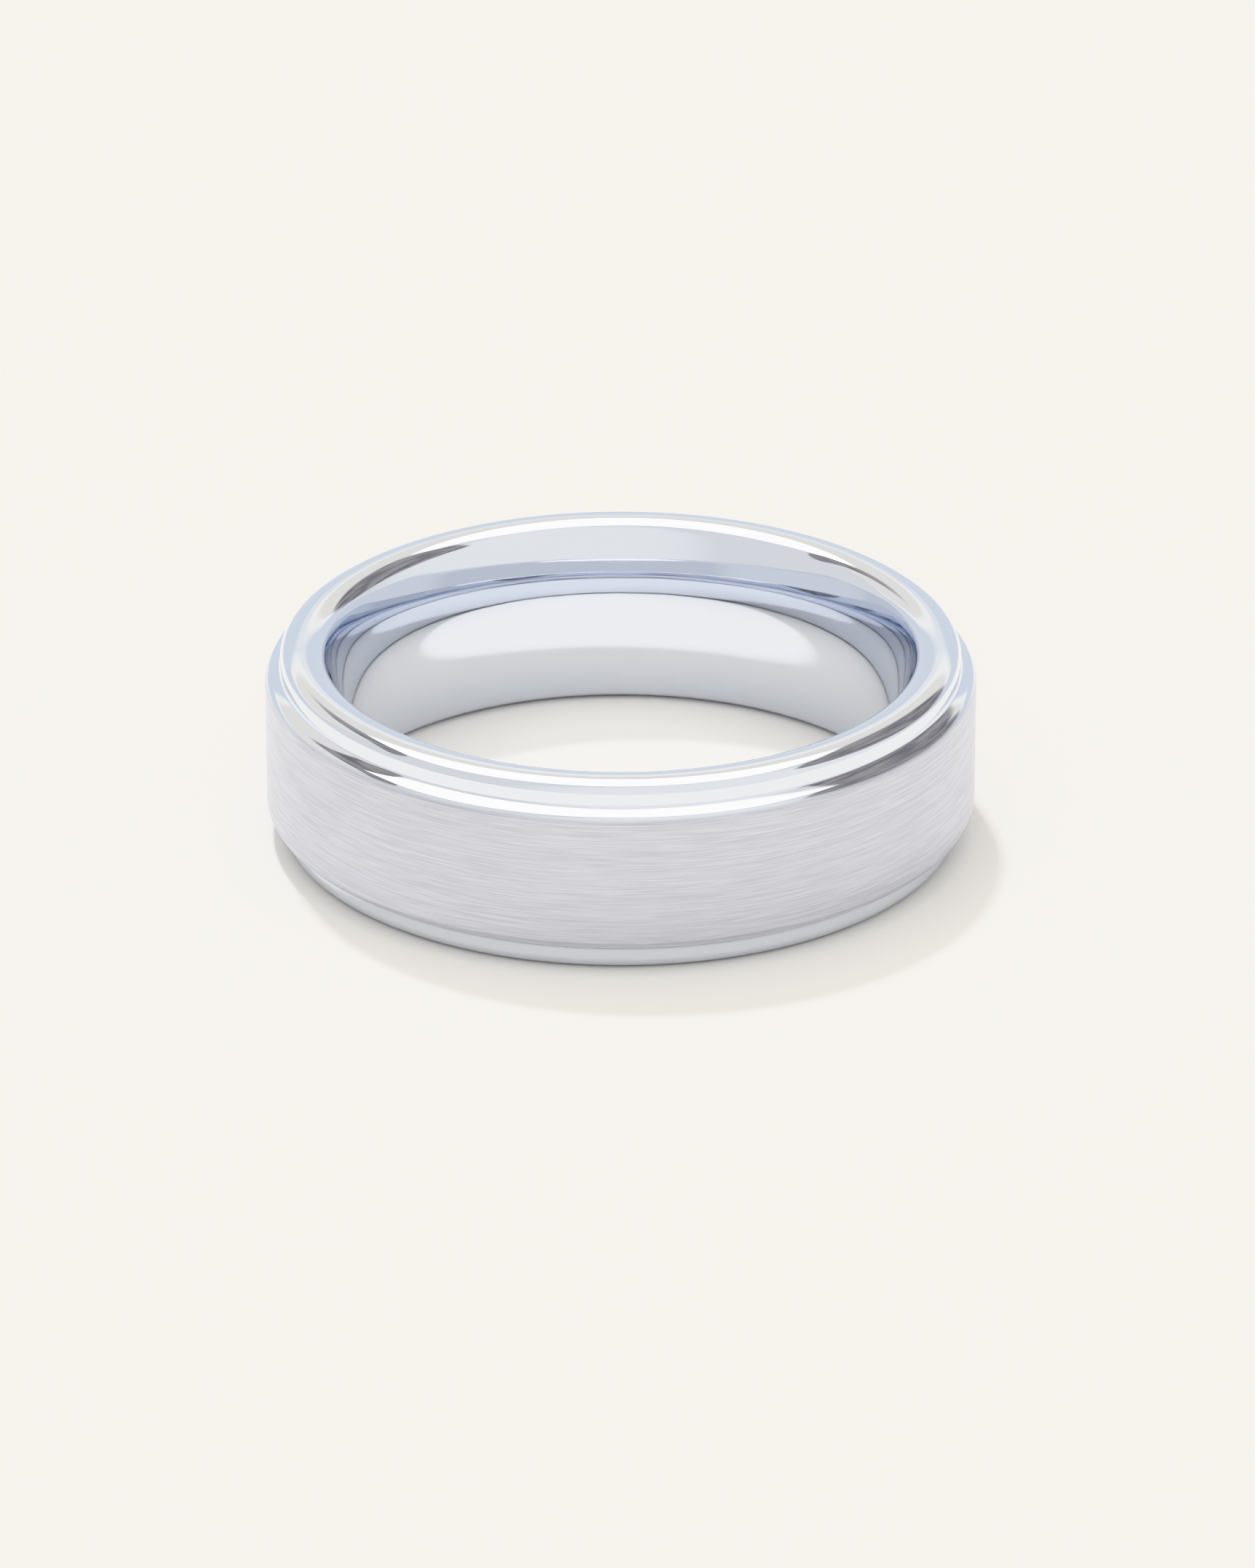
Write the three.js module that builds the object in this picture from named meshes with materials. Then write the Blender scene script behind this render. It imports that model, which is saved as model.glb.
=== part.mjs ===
// Plain wedding band with a raised satin centre and a lower, polished rim on each side.
// Millimetres, +Z along the finger. The band lies on its flat rim land at z = 0, with its axis on Z.
import * as THREE from 'three';

// Driving dimensions
const BAND_WIDTH = 6.0;            // along the finger, from rim land to rim land
const OUTER_RADIUS = 10.67;        // raised centre
const BORE_RADIUS = 8.4;           // narrowest part of the comfort-fit bore
const RIM_RADIUS = 10.21;          // upright wall of the stepped rim
const SHOULDER_RADIUS = 0.3;       // rounded edge of the raised centre
const LEDGE_DEPTH = 0.645;         // rim land down to where the rim wall's fillet starts
const LEDGE_FILLET = 0.12;         // tight hollow corner between rim wall and ledge
const RIM_ROUND = 0.34;            // outer edge of the rim
const CROWN_OUTER_RADIUS = 0.93;   // shallow crown outside the rim land
const CROWN_INNER_RADIUS = 1.05;   // shallow crown inside the rim land
const BORE_LIP_RADIUS = 0.45;      // inner edge of the rim, where the bore begins
const BORE_EASE_RADIUS = 2.0;      // eases the lip into the long arc of the bore

// Surface normals where one arc meets the next, measured from the direction away from the axis
// on the outside, and from the direction to the axis in the bore
const CROWN_EDGE = deg(65);        // crown to the tighter rounds on both sides of it
const FILLET_EDGE = deg(57);       // ledge fillet to the shallow hollow of the ledge
const LEDGE_EDGE = deg(68);        // ledge to shoulder: the ledge falls away outwards by 22 degrees
const LIP_EDGE = deg(24);          // bore lip to its ease
const DOME_EDGE = deg(17.3);       // ease to the long arc of the bore
const UP = deg(90);
const INWARD = deg(180);

const FACETS_ROUND = 72;           // a multiple of 4, so that the facets reach the full diameter on X and Y

function deg(angle) {
  return THREE.MathUtils.degToRad(angle);
}

// Points of an arc that goes on from a point, which is not repeated. Angles are those of the surface
// normal in the section plane; a hollow arc has a negative radius.
function arcFrom(start, radius, from, to, steps) {
  return Array.from({ length: steps }, (_, i) => {
    const angle = from + ((to - from) * (i + 1)) / steps;
    const r = start.x + radius * (Math.cos(angle) - Math.cos(from));
    const z = start.y + radius * (Math.sin(angle) - Math.sin(from));
    return new THREE.Vector2(r, z);
  });
}

// Outside of the upper half, from the rim land to the raised centre. z is measured from mid-width.
function outsideOfUpperHalf() {
  const roundDepth = RIM_ROUND * (1 - Math.cos(CROWN_EDGE));
  const landR = RIM_RADIUS - roundDepth - CROWN_OUTER_RADIUS * Math.cos(CROWN_EDGE);
  const land = new THREE.Vector2(landR, BAND_WIDTH / 2);
  const crown = arcFrom(land, CROWN_OUTER_RADIUS, UP, CROWN_EDGE, 3);
  const round = arcFrom(crown.at(-1), RIM_ROUND, CROWN_EDGE, 0, 4);

  const wallFoot = new THREE.Vector2(RIM_RADIUS, BAND_WIDTH / 2 - LEDGE_DEPTH);
  const fillet = arcFrom(wallFoot, -LEDGE_FILLET, 0, FILLET_EDGE, 3);

  // The ledge's hollow is as shallow as it takes to reach the shoulder.
  const shoulderTopR = OUTER_RADIUS - SHOULDER_RADIUS * (1 - Math.cos(LEDGE_EDGE));
  const ledgeRun = shoulderTopR - fillet.at(-1).x;
  const ledgeHollow = ledgeRun / (Math.cos(FILLET_EDGE) - Math.cos(LEDGE_EDGE));
  const ledge = arcFrom(fillet.at(-1), -ledgeHollow, FILLET_EDGE, LEDGE_EDGE, 2);
  const shoulder = arcFrom(ledge.at(-1), SHOULDER_RADIUS, LEDGE_EDGE, 0, 4);
  return [land, ...crown, ...round, wallFoot, ...fillet, ...ledge, ...shoulder];
}

// Bore of the upper half, from mid-width up to the rim land. z is measured from mid-width.
function boreOfUpperHalf() {
  const crownHeight = CROWN_INNER_RADIUS * (1 - Math.sin(CROWN_EDGE));
  const lipHeight = BORE_LIP_RADIUS * (Math.sin(CROWN_EDGE) - Math.sin(LIP_EDGE));
  const easeHeight = BORE_EASE_RADIUS * (Math.sin(LIP_EDGE) - Math.sin(DOME_EDGE));
  const domeHeight = BAND_WIDTH / 2 - crownHeight - lipHeight - easeHeight;
  const domeRadius = domeHeight / Math.sin(DOME_EDGE);

  const middle = new THREE.Vector2(BORE_RADIUS, 0);
  const dome = arcFrom(middle, domeRadius, INWARD, INWARD - DOME_EDGE, 5);
  const ease = arcFrom(dome.at(-1), BORE_EASE_RADIUS, INWARD - DOME_EDGE, INWARD - LIP_EDGE, 2);
  const lip = arcFrom(ease.at(-1), BORE_LIP_RADIUS, INWARD - LIP_EDGE, INWARD - CROWN_EDGE, 4);
  const crown = arcFrom(lip.at(-1), CROWN_INNER_RADIUS, INWARD - CROWN_EDGE, UP, 3);
  return [middle, ...dome, ...ease, ...lip, ...crown];
}

// Whole section, closed on itself: up the outside, down the bore and back. The lower half mirrors the upper one.
function bandSection() {
  const upper = [...boreOfUpperHalf(), ...outsideOfUpperHalf()].reverse();
  const lower = upper.slice(0, -1).map((p) => new THREE.Vector2(p.x, -p.y)).reverse();
  const section = [...upper, ...lower, upper[0].clone()];
  return section.map((p) => new THREE.Vector2(p.x, p.y + BAND_WIDTH / 2));
}

function makeBand() {
  const geometry = new THREE.LatheGeometry(bandSection(), FACETS_ROUND);
  geometry.rotateX(Math.PI / 2);   // the lathe turns about Y; the band's axis is Z
  const whiteMetal = new THREE.MeshStandardMaterial({ color: 0xd9dce2, roughness: 0.25, metalness: 1.0 });
  const mesh = new THREE.Mesh(geometry, whiteMetal);
  mesh.name = 'band';
  return mesh;
}

const weddingBand = new THREE.Group();
weddingBand.add(makeBand());

export default weddingBand;
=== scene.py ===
import math

import bpy
import numpy as np
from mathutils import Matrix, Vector


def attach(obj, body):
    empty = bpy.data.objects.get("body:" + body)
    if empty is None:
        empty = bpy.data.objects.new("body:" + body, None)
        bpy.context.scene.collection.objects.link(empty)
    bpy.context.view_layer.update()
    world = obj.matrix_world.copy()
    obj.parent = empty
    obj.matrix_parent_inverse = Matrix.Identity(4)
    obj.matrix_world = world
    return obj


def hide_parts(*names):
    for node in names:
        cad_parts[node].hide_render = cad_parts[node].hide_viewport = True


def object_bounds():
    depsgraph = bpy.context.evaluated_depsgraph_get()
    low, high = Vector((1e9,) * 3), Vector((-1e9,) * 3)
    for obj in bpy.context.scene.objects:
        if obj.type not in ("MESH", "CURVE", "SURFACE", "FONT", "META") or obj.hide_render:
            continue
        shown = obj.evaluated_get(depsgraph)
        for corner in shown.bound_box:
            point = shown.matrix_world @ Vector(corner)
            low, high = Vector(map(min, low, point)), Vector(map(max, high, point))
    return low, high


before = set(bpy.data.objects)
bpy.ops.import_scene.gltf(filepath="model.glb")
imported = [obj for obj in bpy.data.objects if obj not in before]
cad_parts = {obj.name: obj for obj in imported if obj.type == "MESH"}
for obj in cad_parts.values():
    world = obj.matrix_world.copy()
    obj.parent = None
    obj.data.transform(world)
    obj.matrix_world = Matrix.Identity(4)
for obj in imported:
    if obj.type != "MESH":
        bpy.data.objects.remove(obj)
cad_low, cad_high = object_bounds()

# ---------------------------------------------------------------- driving dimensions, in metres
MM = 0.001
OUTER_RADIUS = cad_high.x
BAND_WIDTH = cad_high.z - cad_low.z
MID_WIDTH = (cad_high.z + cad_low.z) / 2
BORE_RADIUS = 8.4 * MM
RIM_RADIUS = 10.21 * MM
SHOULDER_RADIUS = 0.3 * MM
LEDGE_DEPTH = 0.645 * MM
LEDGE_FILLET = 0.12 * MM
RIM_ROUND = 0.34 * MM
CROWN_OUTER_RADIUS = 0.93 * MM
CROWN_INNER_RADIUS = 1.05 * MM
BORE_LIP_RADIUS = 0.45 * MM
BORE_EASE_RADIUS = 2.0 * MM

# Surface normals where one arc meets the next, measured from the direction away from the axis
# on the outside, and from the direction to the axis in the bore.
CROWN_EDGE = math.radians(65)
FILLET_EDGE = math.radians(57)
LEDGE_EDGE = math.radians(68)
SATIN_EDGE = math.radians(45)
SATIN_EDGE_RADIUS = OUTER_RADIUS - SHOULDER_RADIUS * (1 - math.cos(SATIN_EDGE))
LIP_EDGE = math.radians(24)
DOME_EDGE = math.radians(17.3)
UP = math.radians(90)
INWARD = math.radians(180)

TURN_STEPS = 360
SAME_RADIUS = 1e-7

# ---------------------------------------------------------------- the band's section


def arc_from(start, radius, start_normal, end_normal, steps):
    """Points (r, z, normal angle) of an arc that goes on from a point, which is not repeated.
    A hollow arc has a negative radius."""
    points = []
    for normal in np.linspace(start_normal, end_normal, steps + 1)[1:]:
        r = start[0] + radius * (math.cos(normal) - math.cos(start_normal))
        z = start[1] + radius * (math.sin(normal) - math.sin(start_normal))
        points.append((r, z, normal))
    return points


def straight(a, b, steps):
    """Points between two others, without the ends."""
    inner = np.linspace(0, 1, steps + 1)[1:-1]
    return [tuple(np.array(a) + (np.array(b) - np.array(a)) * t) for t in inner]


def outside_of_upper_half():
    """From the rim land to the raised centre, z measured from mid-width."""
    round_depth = RIM_ROUND * (1 - math.cos(CROWN_EDGE))
    land_r = RIM_RADIUS - round_depth - CROWN_OUTER_RADIUS * math.cos(CROWN_EDGE)
    land = (land_r, BAND_WIDTH / 2, UP)
    crown = arc_from(land, CROWN_OUTER_RADIUS, UP, CROWN_EDGE, steps=10)
    rounding = arc_from(crown[-1], RIM_ROUND, CROWN_EDGE, 0, steps=16)

    wall_foot = (RIM_RADIUS, BAND_WIDTH / 2 - LEDGE_DEPTH, 0.0)
    fillet = arc_from(wall_foot, -LEDGE_FILLET, 0, FILLET_EDGE, steps=10)

    # The ledge's hollow is as shallow as it takes to reach the shoulder.
    shoulder_top_r = OUTER_RADIUS - SHOULDER_RADIUS * (1 - math.cos(LEDGE_EDGE))
    ledge_run = shoulder_top_r - fillet[-1][0]
    ledge_hollow = ledge_run / (math.cos(FILLET_EDGE) - math.cos(LEDGE_EDGE))
    ledge = arc_from(fillet[-1], -ledge_hollow, FILLET_EDGE, LEDGE_EDGE, steps=8)
    bright_shoulder = arc_from(ledge[-1], SHOULDER_RADIUS, LEDGE_EDGE, SATIN_EDGE, steps=6)
    satin_shoulder = arc_from(bright_shoulder[-1], SHOULDER_RADIUS, SATIN_EDGE, 0, steps=12)
    wall = straight(rounding[-1], wall_foot, steps=3)
    return [land, *crown, *rounding, *wall, wall_foot, *fillet, *ledge, *bright_shoulder,
            *satin_shoulder]


def bore_of_upper_half():
    """From mid-width up to the rim land, z measured from mid-width."""
    crown_height = CROWN_INNER_RADIUS * (1 - math.sin(CROWN_EDGE))
    lip_height = BORE_LIP_RADIUS * (math.sin(CROWN_EDGE) - math.sin(LIP_EDGE))
    ease_height = BORE_EASE_RADIUS * (math.sin(LIP_EDGE) - math.sin(DOME_EDGE))
    dome_height = BAND_WIDTH / 2 - crown_height - lip_height - ease_height
    dome_radius = dome_height / math.sin(DOME_EDGE)

    middle = (BORE_RADIUS, 0.0, INWARD)
    dome = arc_from(middle, dome_radius, INWARD, INWARD - DOME_EDGE, steps=24)
    ease = arc_from(dome[-1], BORE_EASE_RADIUS, INWARD - DOME_EDGE, INWARD - LIP_EDGE, steps=6)
    lip = arc_from(ease[-1], BORE_LIP_RADIUS, INWARD - LIP_EDGE, INWARD - CROWN_EDGE, steps=14)
    crown = arc_from(lip[-1], CROWN_INNER_RADIUS, INWARD - CROWN_EDGE, UP, steps=10)
    return [middle, *dome, *ease, *lip, *crown]


def band_section():
    """The whole section as (r, z, normal angle), once round: down the bore and up the outside.
    The lower half mirrors the upper one."""
    upper = [*bore_of_upper_half(), *outside_of_upper_half()][::-1]
    lower = [(r, -z, -normal) for r, z, normal in upper[:-1]][::-1]
    middle_outside = straight(lower[-1], upper[0], steps=12)
    return [(r, z + MID_WIDTH, normal) for r, z, normal in [*upper, *lower, *middle_outside]]


def is_satin(a, b):
    """True for the faces of the raised centre and of the outer part of its shoulders."""
    return min(a[0], b[0]) > SATIN_EDGE_RADIUS - SAME_RADIUS


# ---------------------------------------------------------------- mesh


def make_band(satin, polish):
    section = band_section()
    count = len(section)
    turns = np.arange(TURN_STEPS) * (2 * math.pi / TURN_STEPS)
    r, z, normal = np.array(section).T
    cos_t, sin_t = np.cos(turns)[:, None], np.sin(turns)[:, None]
    vertices = np.stack([r * cos_t, r * sin_t, np.broadcast_to(z, (TURN_STEPS, count))], -1)
    normals = np.stack([np.cos(normal) * cos_t, np.cos(normal) * sin_t,
                        np.broadcast_to(np.sin(normal), (TURN_STEPS, count))], -1)

    satin_slot, polish_slot = 0, 1
    faces, slots = [], []
    for i in range(TURN_STEPS):
        here, there = i * count, (i + 1) % TURN_STEPS * count
        for j in range(count):
            k = (j + 1) % count
            faces.append((here + j, there + j, there + k, here + k))
            slots.append(satin_slot if is_satin(section[j], section[k]) else polish_slot)

    mesh = bpy.data.meshes.new("wedding_band")
    mesh.from_pydata(vertices.reshape(-1, 3).tolist(), [], faces)
    mesh.materials.append(satin)
    mesh.materials.append(polish)
    mesh.polygons.foreach_set("material_index", slots)
    mesh.polygons.foreach_set("use_smooth", [True] * len(faces))
    mesh.normals_split_custom_set_from_vertices(normals.reshape(-1, 3).tolist())
    mesh.update()
    band = bpy.data.objects.new("wedding_band", mesh)
    bpy.context.scene.collection.objects.link(band)
    return band


# ---------------------------------------------------------------- shader nodes


def node(tree, kind, *values, operation=None):
    """A new node's main output. Each value is a link for that input if it is a socket."""
    made = tree.nodes.new(kind)
    if operation:
        made.operation = operation
    for socket, value in zip(made.inputs, values):
        if isinstance(value, bpy.types.NodeSocket):
            tree.links.new(value, socket)
        else:
            socket.default_value = value
    return made.outputs["Value"] if operation == "DOT_PRODUCT" else made.outputs[0]


def math_node(tree, operation, *values):
    return node(tree, "ShaderNodeMath", *values, operation=operation)


def soft_step(tree, value, start, end, before=0.0, after=1.0):
    """Runs smoothly from before to after as value goes from start to end."""
    step = tree.nodes.new("ShaderNodeMapRange")
    step.interpolation_type = "SMOOTHSTEP"
    tree.links.new(value, step.inputs["Value"])
    step.inputs["From Min"].default_value = start
    step.inputs["From Max"].default_value = end
    step.inputs["To Min"].default_value = before
    step.inputs["To Max"].default_value = after
    return step.outputs["Result"]


def mix(tree, factor, a, b):
    """The colour a where factor is 0 and b where it is 1."""
    mixer = tree.nodes.new("ShaderNodeMix")
    mixer.data_type = "RGBA"
    for name, value in (("Factor_Float", factor), ("A_Color", a), ("B_Color", b)):
        socket = next(s for s in mixer.inputs if s.identifier == name)
        if isinstance(value, bpy.types.NodeSocket):
            tree.links.new(value, socket)
        else:
            socket.default_value = value
    return next(s for s in mixer.outputs if s.identifier == "Result_Color")


# ---------------------------------------------------------------- materials


def new_material(name):
    material = bpy.data.materials.new(name)
    material.use_nodes = True
    return material, material.node_tree, material.node_tree.nodes["Principled BSDF"]


METAL = (0.75, 0.783, 0.852, 1.0)
SATIN_DARK = (0.508, 0.518, 0.574, 1.0)
SATIN_BRIGHT = (0.615, 0.626, 0.694, 1.0)
FULL_SATIN_RADIUS = OUTER_RADIUS - 0.004 * MM
POLISH_ROUGHNESS = (0.02, 0.055)
POLISH_WAVE_DEPTH = 2.5e-6
SATIN_ROUGHNESS_AT_EDGE = 0.2
SATIN_ROUGHNESS = 0.38
SATIN_RELIEF = 2.0e-6
# The brushing's streaks, broad to fine: length, width, share of the whole.
STREAKS = ((4.0 * MM, 0.06 * MM, 0.15), (2.2 * MM, 0.036 * MM, 0.4), (1.2 * MM, 0.024 * MM, 0.45))


def stretched_noise(tree, along, across, detail):
    """Noise from 0 to 1 whose grains are this long round the band and this wide along its axis."""
    position = tree.nodes.new("ShaderNodeTexCoord").outputs["Object"]
    scaled = node(tree, "ShaderNodeVectorMath", position, (1 / along, 1 / along, 1 / across),
                  operation="MULTIPLY")
    noise = tree.nodes.new("ShaderNodeTexNoise")
    noise.inputs["Scale"].default_value = 1.0
    noise.inputs["Detail"].default_value = detail
    tree.links.new(scaled, noise.inputs["Vector"])
    return noise.outputs["Fac"]


def bump(tree, height, depth):
    """The normal of a surface that rises by a depth, in metres, as height goes from 0 to 1."""
    relief = tree.nodes.new("ShaderNodeBump")
    relief.inputs["Distance"].default_value = depth
    tree.links.new(height, relief.inputs["Height"])
    return relief.outputs["Normal"]


def polished_metal():
    """A mirror polish that is a little uneven: faint waves, and patches that are a touch less
    sharp."""
    material, tree, shader = new_material("polished_white_metal")
    shader.inputs["Base Color"].default_value = METAL
    shader.inputs["Metallic"].default_value = 1.0
    handling = stretched_noise(tree, 0.9 * MM, 0.5 * MM, detail=3.0)
    roughness = soft_step(tree, handling, 0.35, 0.7, *POLISH_ROUGHNESS)
    tree.links.new(roughness, shader.inputs["Roughness"])
    waves = stretched_noise(tree, 1.6 * MM, 1.6 * MM, detail=1.0)
    tree.links.new(bump(tree, waves, POLISH_WAVE_DEPTH), shader.inputs["Normal"])
    return material


def satin_metal():
    """Fine brushing round the band, in streaks of several lengths and widths. It thins out over the
    shoulders, towards their polished edge."""
    material, tree, shader = new_material("satin_white_metal")
    shader.inputs["Metallic"].default_value = 1.0
    shader.inputs["Anisotropic"].default_value = 0.55
    shader.inputs["Anisotropic Rotation"].default_value = 0.25
    tangent = tree.nodes.new("ShaderNodeTangent")
    tangent.direction_type = "RADIAL"
    tangent.axis = "Z"
    tree.links.new(tangent.outputs["Tangent"], shader.inputs["Tangent"])

    broad, medium, fine = (
        math_node(tree, "MULTIPLY", stretched_noise(tree, length, width, detail=1.0), share)
        for length, width, share in STREAKS)
    streaks = math_node(tree, "ADD", broad, math_node(tree, "ADD", medium, fine))
    brushed = mix(tree, soft_step(tree, streaks, 0.37, 0.63), SATIN_DARK, SATIN_BRIGHT)

    position = tree.nodes.new("ShaderNodeTexCoord").outputs["Object"]
    flat = node(tree, "ShaderNodeVectorMath", position, (1.0, 1.0, 0.0), operation="MULTIPLY")
    radius_squared = node(tree, "ShaderNodeVectorMath", flat, flat, operation="DOT_PRODUCT")
    radius = math_node(tree, "SQRT", radius_squared)
    depth_of_brushing = soft_step(tree, radius, SATIN_EDGE_RADIUS, FULL_SATIN_RADIUS)
    tree.links.new(mix(tree, depth_of_brushing, METAL, brushed), shader.inputs["Base Color"])
    roughness = soft_step(tree, radius, SATIN_EDGE_RADIUS, FULL_SATIN_RADIUS,
                          SATIN_ROUGHNESS_AT_EDGE, SATIN_ROUGHNESS)
    tree.links.new(roughness, shader.inputs["Roughness"])
    tree.links.new(bump(tree, streaks, SATIN_RELIEF), shader.inputs["Normal"])
    return material


# ---------------------------------------------------------------- stage, light and camera

FLOOR_HALF = 60 * OUTER_RADIUS
FLOOR_COLOUR = (0.912, 0.898, 0.873, 1.0)

# What the metal sees round it.
SIDE_WALL = (0.915, 0.905, 0.89, 1.0)
FRONT_WALL = (1.06, 1.05, 1.02, 1.0)
REAR_WALL = (0.84, 0.885, 0.93, 1.0)
BOARD_EDGE = (1.22, 1.18, 1.1, 1.0)
BOARD = (1.0, 0.96, 0.88, 1.0)
SOFTBOX = (5.0, 4.75, 4.45, 1.0)
DARK_CLOTH = (0.26, 0.25, 0.255, 1.0)
DARK_CLOTH_CREASES = (0.46, 0.44, 0.43, 1.0)

# The floor's own panel of light, and the key that casts the shadow.
PANEL_LEVEL = 1.5
PANEL_SURROUND_LEVEL = 0.44
KEY_STRENGTH = 1.55
KEY_WIDTH = math.radians(5)
KEY_ELEVATION = math.radians(61)
KEY_AZIMUTH = math.radians(18)

CAMERA_ELEVATION = math.radians(24.67)
CAMERA_DISTANCE = 26.9 * OUTER_RADIUS
CAMERA_PIVOT_HEIGHT = 0.3 * OUTER_RADIUS
AIM_RIGHT = 0.019 * OUTER_RADIUS
AIM_DOWN = 0.164 * OUTER_RADIUS
LENS_MILLIMETRES = 219.0
SENSOR_MILLIMETRES = 36.0

BOUNCES = 12
# The depth that the world reads for a ray that has met the metal twice.
SECOND_REFLECTION = 3.0


def make_floor():
    corners = [(-FLOOR_HALF, -FLOOR_HALF, 0), (FLOOR_HALF, -FLOOR_HALF, 0),
               (FLOOR_HALF, FLOOR_HALF, 0), (-FLOOR_HALF, FLOOR_HALF, 0)]
    mesh = bpy.data.meshes.new("floor")
    mesh.from_pydata(corners, [], [(0, 1, 2, 3)])
    floor = bpy.data.objects.new("floor", mesh)
    bpy.context.scene.collection.objects.link(floor)
    floor.location.z = cad_low.z
    material, tree, shader = new_material("floor")
    shader.inputs["Base Color"].default_value = FLOOR_COLOUR
    shader.inputs["Roughness"].default_value = 1.0
    shader.inputs["Specular IOR Level"].default_value = 0.0
    mesh.materials.append(material)


def cream(level):
    """The studio's warm white at a brightness."""
    return (level, 0.982 * level, 0.94 * level, 1.0)


def card_mask(tree, direction, facing, centre, half, squareness, blur, bend=0.0):
    """1 on a card of the studio and 0 off it. The card is flat and square to the direction
    (azimuth, elevation) in degrees, seen from the band. Its centre and half size are across and up
    on that plane, in units of the plane's distance, and bend arches it."""
    azimuth, elevation = math.radians(facing[0]), math.radians(facing[1])
    toward = (math.sin(azimuth) * math.cos(elevation), -math.cos(azimuth) * math.cos(elevation),
              math.sin(elevation))
    across = (math.cos(azimuth), math.sin(azimuth), 0.0)
    up = (-math.sin(azimuth) * math.sin(elevation), math.cos(azimuth) * math.sin(elevation),
          math.cos(elevation))
    depth = node(tree, "ShaderNodeVectorMath", direction, toward, operation="DOT_PRODUCT")
    x, y = (node(tree, "ShaderNodeVectorMath", direction, axis, operation="DOT_PRODUCT")
            for axis in (across, up))
    x, y = (math_node(tree, "DIVIDE", offset, depth) for offset in (x, y))
    x = math_node(tree, "DIVIDE", math_node(tree, "SUBTRACT", x, centre[0]), half[0])
    arch = math_node(tree, "MULTIPLY", math_node(tree, "MULTIPLY", x, x), bend)
    y = math_node(tree, "ADD", y, arch)
    y = math_node(tree, "DIVIDE", math_node(tree, "SUBTRACT", y, centre[1]), half[1])
    powers = [math_node(tree, "POWER", math_node(tree, "ABSOLUTE", t), squareness) for t in (x, y)]
    radius = math_node(tree, "POWER", math_node(tree, "ADD", *powers), 1 / squareness)
    inside = soft_step(tree, radius, 1 - blur, 1 + blur, 1.0, 0.0)
    in_front = math_node(tree, "GREATER_THAN", depth, 0.02)
    return math_node(tree, "MULTIPLY", inside, in_front)


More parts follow.
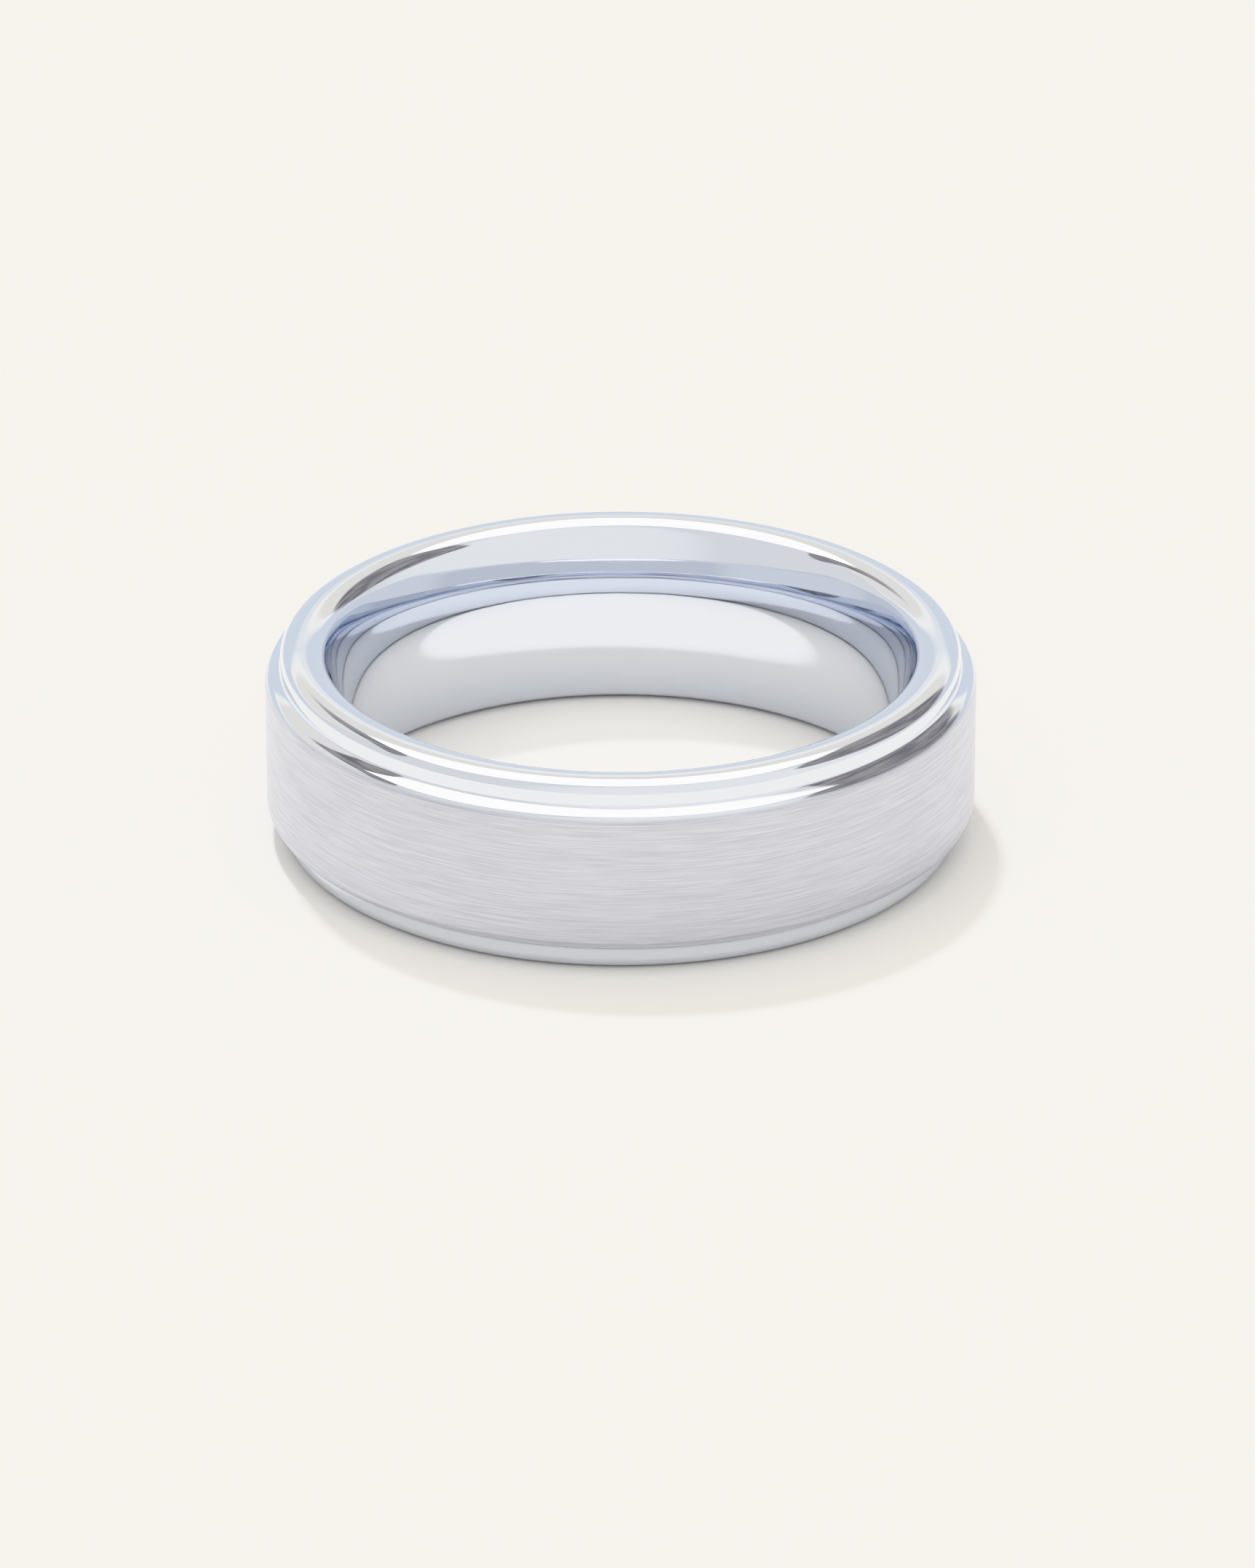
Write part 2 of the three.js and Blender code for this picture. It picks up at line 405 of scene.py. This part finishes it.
def make_world():
    """A pale studio: walls, a board behind, an overhead softbox that reaches behind the band, and
    a dark cloth on each side."""
    world = bpy.data.worlds.new("studio")
    world.use_nodes = True
    bpy.context.scene.world = world
    tree = world.node_tree
    direction = tree.nodes.new("ShaderNodeTexCoord").outputs["Generated"]

    path = tree.nodes.new("ShaderNodeLightPath")
    second = math_node(tree, "COMPARE", path.outputs["Ray Depth"], SECOND_REFLECTION, 0.5)
    not_second = math_node(tree, "SUBTRACT", 1.0, second)
    creases = tree.nodes.new("ShaderNodeTexNoise")
    creases.inputs["Scale"].default_value = 7.0
    tree.links.new(direction, creases.inputs["Vector"])
    cloth = mix(tree, soft_step(tree, creases.outputs["Fac"], 0.35, 0.65), DARK_CLOTH,
                DARK_CLOTH_CREASES)

    def card(colour, below, **shape):
        return mix(tree, card_mask(tree, direction, **shape), below, colour)

    def near_card(colour, below, **shape):
        """A card that the metal's second reflections miss, as it stands too near the band."""
        mask = math_node(tree, "MULTIPLY", card_mask(tree, direction, **shape), not_second)
        return mix(tree, mask, below, colour)

    light = card(FRONT_WALL, SIDE_WALL, facing=(35, 0), centre=(0.0, 0.0), half=(2.1, 6.0),
                 squareness=3, blur=0.65)
    light = near_card(REAR_WALL, light, facing=(180, 0), centre=(0.0, 0.2), half=(1.6, 0.5),
                      squareness=3, blur=0.4)
    light = near_card(BOARD_EDGE, light, facing=(180, 0), centre=(0.0, 1.6), half=(1.97, 1.15),
                      squareness=6, blur=0.03)
    light = near_card(BOARD, light, facing=(180, 0), centre=(0.0, 1.6), half=(1.9, 1.08),
                      squareness=6, blur=0.03)
    light = card(SOFTBOX, light, facing=(0, 90), centre=(-0.1, 0.47), half=(0.48, 0.45),
                 squareness=4, blur=0.12)
    light = near_card(cloth, light, facing=(115, 0), centre=(0.03, 0.95), half=(0.97, 0.76),
                      squareness=1.6, blur=0.08, bend=-0.3)
    light = near_card(cloth, light, facing=(-122, 0), centre=(-0.03, 1.17), half=(0.68, 0.2),
                      squareness=3, blur=0.15, bend=0.3)
    # The floor is lit by a large even panel, overhead and in front. Only the metal sees the cards.
    panel = card(cream(PANEL_LEVEL), cream(PANEL_SURROUND_LEVEL), facing=(0, 62), centre=(0.0, 0.0),
                 half=(1.1, 1.0), squareness=2, blur=0.4)
    light = mix(tree, path.outputs["Is Diffuse Ray"], light, panel)
    tree.links.new(light, tree.nodes["Background"].inputs["Color"])


def make_camera():
    """The photograph's view: a long lens, with the band a little left of and above the middle of
    the frame."""
    right = Vector((1, 0, 0))
    up = Vector((0, math.sin(CAMERA_ELEVATION), math.cos(CAMERA_ELEVATION)))
    back = Vector((0, -math.cos(CAMERA_ELEVATION), math.sin(CAMERA_ELEVATION)))
    middle = Vector((0, 0, CAMERA_PIVOT_HEIGHT))
    aim = middle + right * AIM_RIGHT - up * AIM_DOWN
    data = bpy.data.cameras.new("camera")
    data.lens = LENS_MILLIMETRES
    data.sensor_width = SENSOR_MILLIMETRES
    data.clip_start, data.clip_end = 0.01, 10.0
    camera = bpy.data.objects.new("camera", data)
    camera.location = middle + back * CAMERA_DISTANCE
    camera.rotation_mode = "QUATERNION"
    camera.rotation_quaternion = (aim - camera.location).to_track_quat("-Z", "Y")
    bpy.context.scene.collection.objects.link(camera)
    bpy.context.scene.camera = camera


def make_key_light():
    data = bpy.data.lights.new("key", "SUN")
    data.energy = KEY_STRENGTH
    data.angle = KEY_WIDTH
    key = bpy.data.objects.new("key", data)
    direction = Vector((-math.sin(KEY_AZIMUTH) * math.cos(KEY_ELEVATION),
                        math.cos(KEY_AZIMUTH) * math.cos(KEY_ELEVATION),
                        math.sin(KEY_ELEVATION)))
    key.rotation_mode = "QUATERNION"
    key.rotation_quaternion = (-direction).to_track_quat("-Z", "Y")
    bpy.context.scene.collection.objects.link(key)


# ---------------------------------------------------------------- scene

bpy.context.scene.view_settings.view_transform = "Khronos PBR Neutral"
bpy.context.scene.cycles.max_bounces = BOUNCES
bpy.context.scene.cycles.glossy_bounces = BOUNCES
make_camera()
make_floor()
make_world()
make_key_light()

band = make_band(satin_metal(), polished_metal())
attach(band, "root")
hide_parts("band")
